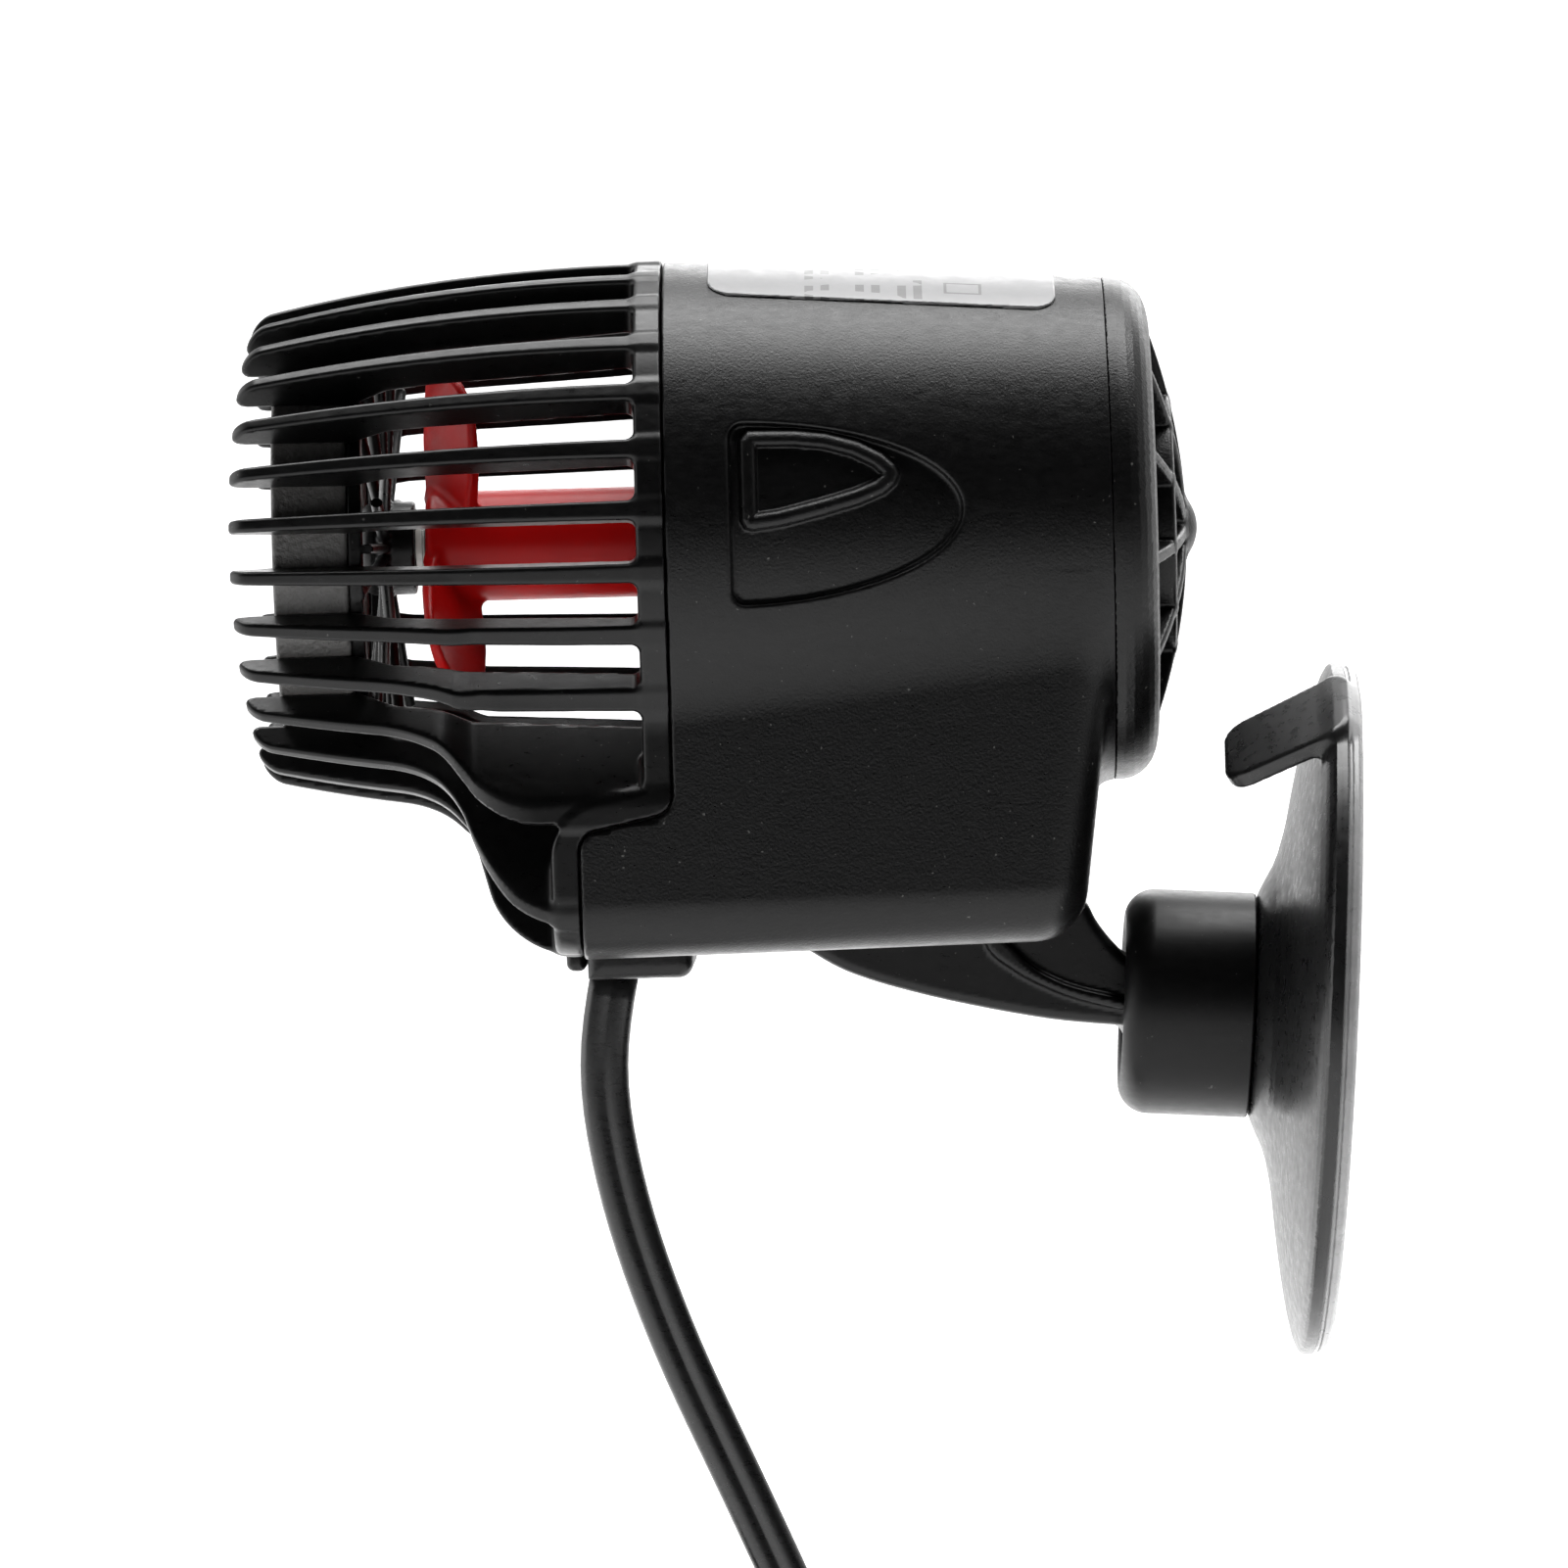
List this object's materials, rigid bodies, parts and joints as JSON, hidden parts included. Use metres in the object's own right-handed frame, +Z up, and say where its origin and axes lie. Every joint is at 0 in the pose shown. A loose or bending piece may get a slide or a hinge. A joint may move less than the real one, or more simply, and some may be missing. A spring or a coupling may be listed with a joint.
{
  "type": "wave maker pump",
  "caption": "Small aquarium circulation pump: ribbed cage round a propeller, sealed motor barrel with keel, and a ball-jointed suction cup for the tank wall.",
  "frame": {"origin": "centre of the suction face, in the plane of the cup's lip", "axes": "+X out of the suction face into the wall that holds the pump, +Z up, +Y away from the side with the pull tab"},
  "size_m": [0.0796, 0.0484, 0.1663],
  "materials": {
    "cup_rubber": "glossy soft rubber",
    "gloss_black": "gloss",
    "satin_black": "satin moulded",
    "matte_black": "fine-grained matte",
    "textured_black": "coarse spark-eroded texture",
    "label": "satin printed film",
    "well_plastic": "satin",
    "laminations": "stacked sheet",
    "bobbin": "natural nylon",
    "copper": "enamelled wire",
    "lead_insulation": "insulated wire",
    "resin": "cast resin",
    "ceramic": "ground",
    "bush_rubber": "matte",
    "ferrite": "ground ferrite",
    "red_plastic": "satin moulded",
    "cord_pvc": "smooth PVC",
    "tie_plastic": "flat plastic tie",
    "plug_plastic": "moulded PVC",
    "pin_metal": "nickel plated"
  },
  "bodies": {
    "cup": {"suction_cup": "cup_rubber"},
    "socket": {"ball_socket": "gloss_black"},
    "pump": {"mount_arm": "satin_black", "motor_housing": "matte_black", "rear_grille": "matte_black", "rating_label": "label", "rotor_well": "well_plastic", "stator_core": "laminations", "bobbin_left": "bobbin", "bobbin_right": "bobbin", "winding_left": "copper", "winding_right": "copper", "lead_wires": "lead_insulation", "potting_resin": "resin", "shaft": "ceramic", "rear_bush": "bush_rubber", "thrust_washers": "ceramic", "cable_clamp": "matte_black", "cord_grommet": "bush_rubber", "power_cord": "cord_pvc", "cord_coil": "cord_pvc", "cord_tail": "cord_pvc", "cord_tie": "tie_plastic", "plug_body": "plug_plastic", "plug_pins": "pin_metal"},
    "rotor": {"rotor_magnet": "ferrite", "rotor_bearing": "ceramic", "rotor_sleeve": "well_plastic"},
    "impeller": {"propeller": "red_plastic"},
    "cage": {"front_cage": "satin_black", "outlet_ring": "textured_black", "front_spider": "satin_black", "front_bush": "bush_rubber"}
  },
  "joints": [
    {"name": "socket_swivel", "type": "hinge", "parent": "cup", "child": "socket", "pos_m": [-0.011, 0, 0], "axis": [1, 0, 0], "continuous": true},
    {"name": "ball_tilt", "type": "hinge", "parent": "socket", "child": "pump", "pos_m": [-0.011, 0, 0], "axis": [0, 1, 0], "range_deg": [-20, 4]},
    {"name": "rotor_spin", "type": "hinge", "parent": "pump", "child": "rotor", "pos_m": [-0.04824, 0, 0.03078], "axis": [0.9976, 0, 0.0698], "continuous": true},
    {"name": "propeller_play", "type": "hinge", "parent": "rotor", "child": "impeller", "pos_m": [-0.04824, 0, 0.03078], "axis": [0.9976, 0, 0.0698], "range_deg": [-135, 135]},
    {"name": "cage_pull", "type": "slide", "parent": "pump", "child": "cage", "axis": [-0.9976, 0, -0.0698], "range_m": [0, 0.034]}
  ]
}
